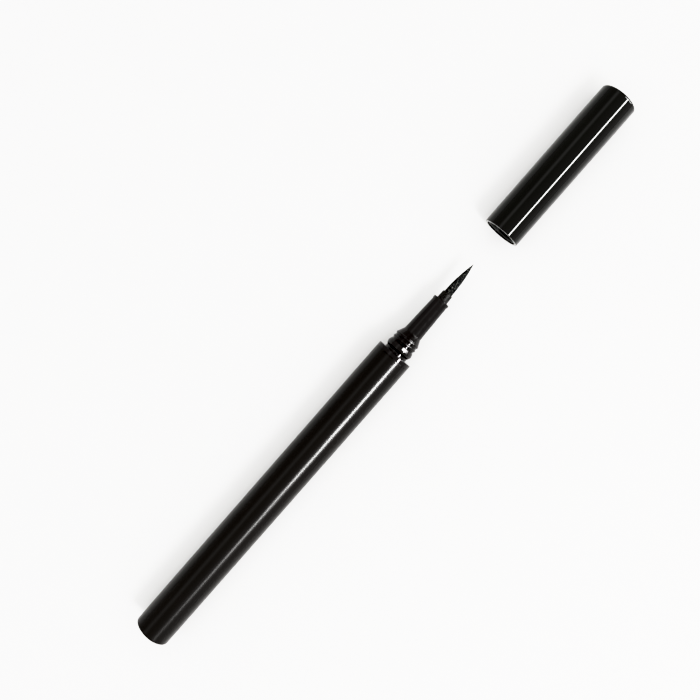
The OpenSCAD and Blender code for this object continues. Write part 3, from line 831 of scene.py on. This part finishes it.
class EYELINER_OT_nib_holder(Operator):
    """Make the collar that holds the brush"""

    bl_idname = "eyeliner.nib_holder"
    bl_label = "Nib holder"

    def execute(self, context):
        sizes = context.scene.eyeliner_brush
        rear_x, mouth_x, flange_r = span("nib_holder")
        seat_x = rear_x + sizes.holder_flange
        face_x = span("front_section")[1] - sizes.edge
        material = inked_polypropylene(context.scene.eyeliner_colours)
        seat_turned("brush_collar", material, "pen", "nib_holder", [
            (rear_x, flange_r, sizes.edge),
            (seat_x, flange_r, 0),
            (seat_x, sizes.holder_in_r, 0),
            (face_x, sizes.holder_in_r, 0),
            (face_x, sizes.holder_r, 0),
            (mouth_x, sizes.mouth_r, sizes.edge),
            (mouth_x, sizes.bore_r, sizes.edge / 2),
            (rear_x, sizes.bore_r, 0),
        ])
        return {"FINISHED"}


class EYELINER_OT_brush(Operator):
    """Grow the brush's filaments and make the root that holds them"""

    bl_idname = "eyeliner.brush"
    bl_label = "Brush"

    def execute(self, context):
        sizes = context.scene.eyeliner_brush
        material = inked_filament(context.scene.eyeliner_colours)
        rear_x, tip_x, flange_r = span("brush_nib")
        mouth_x = span("nib_holder")[1]
        root_x = mouth_x - sizes.root_recess
        brush_l = tip_x - root_x
        tree, inputs = brush_tree("brush_filaments", material)
        brush = grown_piece("brush_filaments", tree, inputs, {
            "Root X": root_x, "Axis Height": AXIS_H, "Brush Radius": sizes.brush_r,
            "Brush Length": brush_l, "Filament Radius": sizes.filament_r, "Stray": sizes.stray,
            "Outline": sizes.outline, "Gather": sizes.gather, "Filaments": sizes.filaments,
            "Points": FILAMENT_POINTS, **FILAMENT_SEEDS,
        })
        seat(brush, "pen", "brush_nib")

        # The ink that stands between the filaments closes them to a core a little thinner than the brush
        core_share = 0.95
        core_reach = 0.9
        core_r = core_share * sizes.brush_r
        steps = 24
        core = []
        for step in range(1, steps):
            share = core_reach * step / steps
            radius = core_r * (1 - (share / core_reach) ** sizes.outline)
            core.append((root_x + share * brush_l, radius, 0))
        flange_x = rear_x + sizes.root_flange
        feed_x = rear_x + sizes.feed_depth
        seat_turned("brush_root", material, "pen", "brush_nib", [
            (rear_x, flange_r, sizes.edge),
            (flange_x, flange_r, sizes.edge),
            (flange_x, sizes.brush_r, 0),
            (root_x, sizes.brush_r, 0),
            (root_x, core_r, 0),
            *core,
            (root_x + core_reach * brush_l, 0, 0),
            (feed_x, 0, 0),
            (feed_x, sizes.feed_r, 0),
            (rear_x, sizes.feed_r, 0),
        ])
        return {"FINISHED"}


class EYELINER_OT_cap_shell(Operator):
    """Make the cap's outer shell"""

    bl_idname = "eyeliner.cap_shell"
    bl_label = "Cap shell"

    def execute(self, context):
        sizes = context.scene.eyeliner_cap
        fine = sizes.fine_edge
        mouth_x, end_x, shell_r = span("cap_shell")
        floor_x = end_x - sizes.end
        peg_x = floor_x - sizes.peg
        material = lacquered_abs(context.scene.eyeliner_colours)
        seat_turned("cap_outer_shell", material, "cap", "cap_shell", [
            (end_x, 0, 0),
            (end_x, shell_r, sizes.end_edge),
            (mouth_x, shell_r, sizes.mouth_edge),
            (mouth_x, sizes.bore_r, fine / 2),
            (floor_x, sizes.bore_r, sizes.mouth_edge),
            (floor_x, sizes.peg_r, fine),
            (peg_x, sizes.peg_r, fine),
            (peg_x, 0, 0),
        ])
        return {"FINISHED"}


class EYELINER_OT_cap_liner(Operator):
    """Make the sleeve inside the cap"""

    bl_idname = "eyeliner.cap_liner"
    bl_label = "Cap liner"

    def execute(self, context):
        sizes = context.scene.eyeliner_cap
        fine = sizes.fine_edge
        rear_x, front_x, outer_r = span("cap_liner")
        lip_x = front_x - sizes.lip
        material = black_polypropylene(context.scene.eyeliner_colours)
        seat_turned("cap_sleeve", material, "cap", "cap_liner", [
            (rear_x, outer_r, 0),
            (rear_x, sizes.liner_r + sizes.lead, 0),
            (rear_x + sizes.lead, sizes.liner_r, fine),
            *dome(rear_x + sizes.click_x, sizes.liner_r, sizes.click_width, -sizes.click_rise),
            (lip_x, sizes.liner_r, 0),
            (lip_x, sizes.lip_r, fine),
            (front_x, sizes.lip_r, fine),
            (front_x, outer_r, fine),
        ])
        return {"FINISHED"}


class EYELINER_OT_inner_cap(Operator):
    """Make the sealing cup inside the cap"""

    bl_idname = "eyeliner.inner_cap"
    bl_label = "Inner cap"

    def execute(self, context):
        sizes = context.scene.eyeliner_cap
        fine = sizes.fine_edge
        mouth_x, peg_x, flange_r = span("inner_cap")
        end_x = peg_x - sizes.peg
        floor_x = end_x - sizes.inner_wall
        flange_x = mouth_x + sizes.flange
        throat_x = mouth_x + sizes.inner_mouth - sizes.inner_bore
        material = natural_polyethylene(context.scene.eyeliner_colours)
        seat_turned("sealing_cup", material, "inner_seal", "inner_cap", [
            (peg_x, 0, 0),
            (peg_x, sizes.peg_r, fine),
            (end_x, sizes.peg_r, fine),
            (end_x, sizes.inner_r, sizes.mouth_edge),
            (flange_x, sizes.inner_r, fine),
            (flange_x, flange_r, fine),
            (mouth_x, flange_r, fine),
            (mouth_x, sizes.inner_mouth, 0),
            (throat_x, sizes.inner_bore, fine),
            (floor_x, sizes.inner_bore, sizes.mouth_edge),
            (floor_x, 0, 0),
        ])
        return {"FINISHED"}


class EYELINER_OT_spring(Operator):
    """Wind the spring behind the inner cap"""

    bl_idname = "eyeliner.spring"
    bl_label = "Inner cap spring"

    def execute(self, context):
        sizes = context.scene.eyeliner_cap
        front_x, rear_x, outer_r = span("inner_cap_spring")
        material = drawn_stainless_wire(context.scene.eyeliner_colours)
        tree, inputs = spring_tree("spring_coil", material)
        piece = grown_piece("seal_spring", tree, inputs, {
            "Front X": front_x, "Axis Height": AXIS_H, "Coil Radius": outer_r - sizes.wire_r,
            "Wire Radius": sizes.wire_r, "Length": rear_x - front_x, "Turns": float(sizes.turns),
        })
        seat(piece, "cap", "inner_cap_spring")
        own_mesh(piece)
        return {"FINISHED"}


class EYELINER_OT_ink_feed(Operator):
    """Finish the pieces inside the barrel: rod, collector, bush, seal and ball"""

    bl_idname = "eyeliner.ink_feed"
    bl_label = "Ink feed"

    def execute(self, context):
        colours = context.scene.eyeliner_colours
        moulded = stained_plastic("inked_natural_abs", (colours.collector, colours.ink), size=1.8,
                                  roughness=(0.5, 0.32))
        extruded = stained_plastic("inked_acetal", (colours.feed, colours.ink), size=0.8,
                                   roughness=(0.55, 0.37))
        # These construction nodes keep their own shape
        finishes = {
            "feed_rod": extruded, "ink_collector": moulded, "tank_bush": moulded,
            "tank_seal": nitrile_rubber(colours), "mixing_ball": polished_stainless_ball(colours),
        }
        for node, material in finishes.items():
            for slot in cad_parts[node].material_slots:
                slot.material = material
        return {"FINISHED"}


def stand(thing, place, axes):
    """Put a light or a camera at a place, with its own x, y and z axes along three directions."""
    thing.matrix_world = Matrix.Translation(place) @ Matrix(axes).transposed().to_4x4()


def softbox(name, x, towards, along, size, power):
    """Area light in a direction from the axis point at this x; its length runs along a vector."""
    data = bpy.data.lights.new(name, "AREA")
    data.shape = "RECTANGLE"
    data.size, data.size_y = size
    data.energy = power
    light = new_object(name, data)
    across = towards.cross(along).normalized()
    place = Vector((x, 0, AXIS_H)) + towards * bpy.context.scene.eyeliner_studio.far
    stand(light, place, (across.cross(towards), across, towards))
    return light


def shade_strip(data):
    """Let a light's strength follow the strip's curve along its length."""
    data.use_nodes = True
    tree = data.node_tree
    tree.nodes.clear()
    place = add_node(tree, "ShaderNodeNewGeometry", output="Parametric")
    along = add_node(tree, "ShaderNodeSeparateXYZ", {"Vector": place}, "X")
    curve = add_node(tree, "ShaderNodeFloatCurve", {"Value": along})
    points = curve.mapping.curves[0].points
    points[0].location = STRIP_CURVE[0]
    points[1].location = STRIP_CURVE[-1]
    for spot in STRIP_CURVE[1:-1]:
        points.new(*spot)
    for point in points:
        point.handle_type = "VECTOR"
    curve.mapping.update()
    glow = add_node(tree, "ShaderNodeEmission", {"Strength": curve.outputs["Value"]}, "Emission")
    add_node(tree, "ShaderNodeOutputLight", {"Surface": glow})


def pale_surround(studio):
    """World that is pale all round: brighter on one side, with a soft band overhead and dimmer ends."""
    world = bpy.data.worlds.new("pale_surround")
    world.use_nodes = True
    tree = world.node_tree
    tree.nodes.clear()
    values = {"towards": add_node(tree, "ShaderNodeTexCoord", output="Generated")}
    work_out(tree, "ShaderNodeVectorMath", values, (
        ("side", "DOT_PRODUCT", "towards", BRIGHT_SIDE),
        ("off band", "DOT_PRODUCT", "towards", BAND_NORMAL),
        ("endwise", "DOT_PRODUCT", "towards", PEN_SIDE),
    ))
    work_out(tree, "ShaderNodeMath", values, (
        ("from band", "ABSOLUTE", "off band"),
        ("from middle", "ABSOLUTE", "endwise"),
    ))
    for name, distance, start, end in (("in band", "from band", 0.0, studio.band_width),
                                       ("in middle", "from middle", *MIDDLE_EDGES)):
        limits = {
            "Value": values[distance], "From Min": start, "From Max": end, "To Min": 1.0, "To Max": 0.0,
        }
        values[name] = add_node(tree, "ShaderNodeMapRange", limits, "Result",
                                interpolation_type="SMOOTHSTEP")
    work_out(tree, "ShaderNodeMath", values, (
        ("even", "MULTIPLY_ADD", "side", studio.side_share * studio.surround, studio.surround),
        ("kept", "MULTIPLY_ADD", "in middle", 1 - studio.end_share, studio.end_share),
        ("dimmed", "MULTIPLY", "even", "kept"),
        ("band here", "MULTIPLY", "in band", "in middle"),
        ("strength", "MULTIPLY_ADD", "band here", studio.band, "dimmed"),
    ))
    inputs = {"Color": studio.tint, "Strength": values["strength"]}
    background = add_node(tree, "ShaderNodeBackground", inputs, "Background")
    add_node(tree, "ShaderNodeOutputWorld", {"Surface": background})
    return world


def match_exposure(scene):
    """Give the view the photograph's tones: its black, its white and the curve between them."""
    scene.view_settings.view_transform = "Standard"
    scene.view_settings.use_curve_mapping = True
    exposure = scene.view_settings.curve_mapping
    exposure.black_level = (scene.eyeliner_studio.black,) * 3
    exposure.white_level = (scene.eyeliner_studio.white,) * 3
    # The last of the curves is the one for all channels
    tones = exposure.curves[-1].points
    for spot in TONE_CURVE:
        tones.new(*spot)
    tones[-1].location = (1, WHITE_TONE)
    exposure.update()


def light_pen(studio):
    """Set the softbox that casts the shadows, and the strip and the window that gloss reflects."""
    square = (studio.key_size, studio.key_size)
    key = softbox("key_softbox", 0, KEY_SIDE, PEN_SIDE, square, studio.key)
    key.visible_glossy = False
    bar = (studio.strip_l, studio.strip_w)
    strip = softbox("strip_light", STRIP_X, STRIP_SIDE, PEN_SIDE, bar, studio.strip)
    strip.visible_diffuse = False
    shade_strip(strip.data)
    pane = (studio.window_l, studio.window_w)
    upright = WINDOW_SIDE.cross(PEN_SIDE)
    window = softbox("window", 0, WINDOW_SIDE, upright, pane, studio.window)
    window.visible_diffuse = False


class EYELINER_OT_stage(Operator):
    """Set the white surface, the soft light and the camera"""

    bl_idname = "eyeliner.stage"
    bl_label = "Stage"

    def execute(self, context):
        scene = context.scene
        studio = scene.eyeliner_studio
        match_exposure(scene)
        half = studio.reach / 2
        data = bpy.data.meshes.new("white_surface")
        corners = [(-half, -half, 0), (half, -half, 0), (half, half, 0), (-half, half, 0)]
        data.from_pydata(corners, [], [(0, 1, 2, 3)])
        data.materials.append(white_laminate(scene.eyeliner_colours))
        floor = new_object("white_surface", data)
        scene.world = pale_surround(studio)
        light_pen(studio)

        camera = bpy.data.cameras.new("camera")
        camera.lens = studio.lens
        camera.clip_start = NEAREST
        scene.camera = new_object("camera", camera)
        up = CAMERA_RIGHT.cross(CAMERA_AHEAD)
        stand(scene.camera, CAMERA_PLACE, (CAMERA_RIGHT, up, -CAMERA_AHEAD))
        return {"FINISHED"}


OPERATORS = (
    EYELINER_OT_stage, EYELINER_OT_barrel, EYELINER_OT_front_section, EYELINER_OT_nib_holder,
    EYELINER_OT_brush, EYELINER_OT_cap_shell, EYELINER_OT_cap_liner, EYELINER_OT_inner_cap,
    EYELINER_OT_spring, EYELINER_OT_ink_feed,
)

GROUPS = {
    "eyeliner_barrel": BarrelSizes,
    "eyeliner_neck": NeckSizes,
    "eyeliner_brush": BrushSizes,
    "eyeliner_cap": CapSizes,
    "eyeliner_colours": PenColours,
    "eyeliner_studio": StudioSettings,
}


class EYELINER_PT_pieces(Panel):
    """Lists the pieces of the pen with their sizes and colours"""

    bl_idname = "EYELINER_PT_pieces"
    bl_label = "Eyeliner pen"
    bl_space_type = "VIEW_3D"
    bl_region_type = "UI"
    bl_category = "Eyeliner"

    def draw(self, context):
        for operator in OPERATORS:
            self.layout.operator(operator.bl_idname)
        for name in GROUPS:
            group = getattr(context.scene, name)
            box = self.layout.box()
            for setting in group.bl_rna.properties.keys():
                if setting not in ("rna_type", "name"):
                    box.prop(group, setting)


def register():
    """Register the classes and hang the settings on the scene."""
    for name, group in GROUPS.items():
        bpy.utils.register_class(group)
        setattr(bpy.types.Scene, name, PointerProperty(type=group))
    for shown in (*OPERATORS, EYELINER_PT_pieces):
        bpy.utils.register_class(shown)


def unregister():
    """Take back what register has added."""
    for shown in (*OPERATORS, EYELINER_PT_pieces):
        bpy.utils.unregister_class(shown)
    for name, group in GROUPS.items():
        delattr(bpy.types.Scene, name)
        bpy.utils.unregister_class(group)


def main():
    """Make the stage and the pieces."""
    register()
    for operator in OPERATORS:
        family, step = operator.bl_idname.split(".")
        getattr(getattr(bpy.ops, family), step)()


if __name__ == "__main__":
    main()
